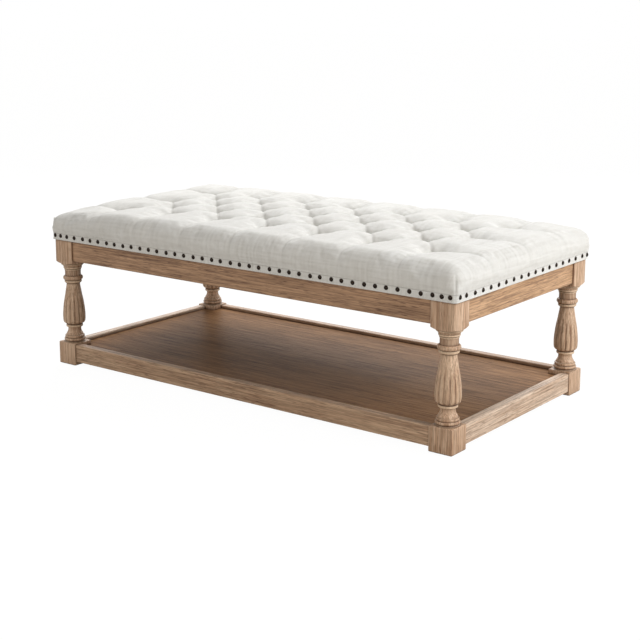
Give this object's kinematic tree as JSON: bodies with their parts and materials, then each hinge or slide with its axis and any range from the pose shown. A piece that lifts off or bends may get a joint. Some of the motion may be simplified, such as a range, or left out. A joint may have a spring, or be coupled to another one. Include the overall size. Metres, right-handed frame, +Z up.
{
  "type": "ottoman coffee table",
  "caption": "Rectangular ottoman coffee table: diamond-tufted upholstered top with a nailhead border, turned and reeded wooden legs, aprons and a low recessed shelf.",
  "frame": {"origin": "on the floor, below the middle of the table", "axes": "+X along the length to the right, +Y from the front to the back, +Z up"},
  "size_m": [1.3254, 0.676, 0.4568],
  "materials": {
    "turned_oak": "whitewashed oak, satin",
    "oak_rail": "whitewashed oak with straight grain, satin",
    "shelf_veneer": "stained oak veneer on board, satin",
    "softwood": "plain planed softwood",
    "plywood": "plywood",
    "linen": "off-white woven linen",
    "foam": "polyurethane foam",
    "twine": "waxed twine",
    "dust_cloth": "black spun-bonded cloth",
    "nail_metal": "near-black antique finish",
    "zinc_steel": "zinc-plated steel",
    "anchor_plastic": "moulded plastic",
    "glide_plastic": "moulded plastic"
  },
  "bodies": {
    "root": {"apron_back": "oak_rail", "apron_brace_back_left": "softwood", "apron_brace_back_right": "softwood", "apron_brace_front_left": "softwood", "apron_brace_front_right": "softwood", "apron_cross_rail": "softwood", "apron_front": "oak_rail", "apron_left": "oak_rail", "apron_right": "oak_rail", "bolt_nuts": "zinc_steel", "bolt_washers": "zinc_steel", "deck": "plywood", "dust_cover": "dust_cloth", "foam_slab": "foam", "glide_back_left": "glide_plastic", "glide_back_right": "glide_plastic", "glide_front_left": "glide_plastic", "glide_front_right": "glide_plastic", "hanger_bolts": "zinc_steel", "leg_back_left": "turned_oak", "leg_back_right": "turned_oak", "leg_front_left": "turned_oak", "leg_front_right": "turned_oak", "nailheads_back": "nail_metal", "nailheads_front": "nail_metal", "nailheads_left": "nail_metal", "nailheads_right": "nail_metal", "shelf_brace_back_left": "softwood", "shelf_brace_back_right": "softwood", "shelf_brace_front_left": "softwood", "shelf_brace_front_right": "softwood", "shelf_cleat_back": "softwood", "shelf_cleat_front": "softwood", "shelf_cleat_left": "softwood", "shelf_cleat_right": "softwood", "shelf_cross_rail": "softwood", "shelf_panel": "shelf_veneer", "shelf_rail_back": "oak_rail", "shelf_rail_front": "oak_rail", "shelf_rail_left": "oak_rail", "shelf_rail_right": "oak_rail", "top_cross_left": "softwood", "top_cross_right": "softwood", "top_frame_back": "softwood", "top_frame_front": "softwood", "top_frame_left": "softwood", "top_frame_right": "softwood", "top_screws": "zinc_steel", "tuft_anchors": "anchor_plastic", "tuft_ties": "twine", "tufted_cushion": "linen"}
  },
  "joints": []
}
